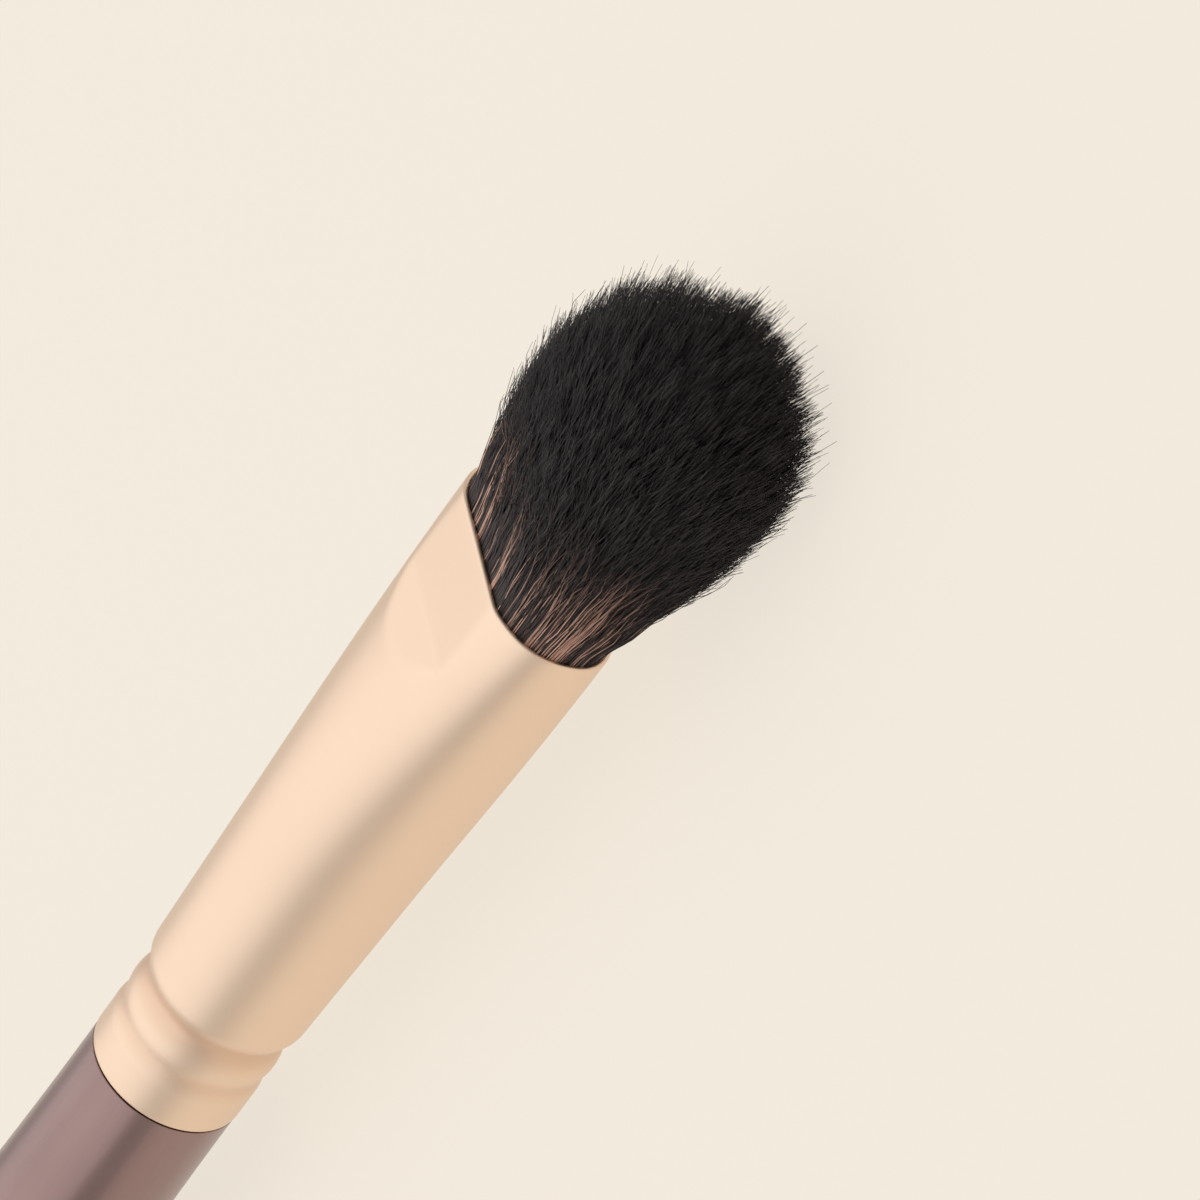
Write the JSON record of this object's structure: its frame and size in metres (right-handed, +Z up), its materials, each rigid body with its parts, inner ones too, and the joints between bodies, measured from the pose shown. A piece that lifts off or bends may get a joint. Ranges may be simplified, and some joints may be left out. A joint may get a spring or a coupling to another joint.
{
  "type": "concealer brush",
  "caption": "Slim make-up brush: a domed head of soft dark hair in a flat-oval metal ferrule, crimped to a turned and lacquered wooden handle.",
  "frame": {"origin": "the middle of the brush's length and width, on the table that it lies on", "axes": "+X from the handle's butt to the hair, +Y along the wide side of the ferrule's mouth, +Z up from the table"},
  "size_m": [0.1698, 0.013, 0.0111],
  "materials": {
    "lacquered_wood": "satin mauve-brown lacquer",
    "rose_metal": "pale rose gold plating, satin polish",
    "glue": "cured adhesive",
    "resin": "cast resin",
    "thread": "wound thread",
    "hair": "soft black hair"
  },
  "bodies": {
    "root": {"handle": "lacquered_wood", "ferrule": "rose_metal", "tenon_glue": "glue", "root_resin": "resin", "knot_binding": "thread", "hair_bottom_layer": "hair", "hair_lower_layer": "hair", "hair_upper_layer": "hair", "hair_top_layer": "hair"}
  },
  "joints": []
}
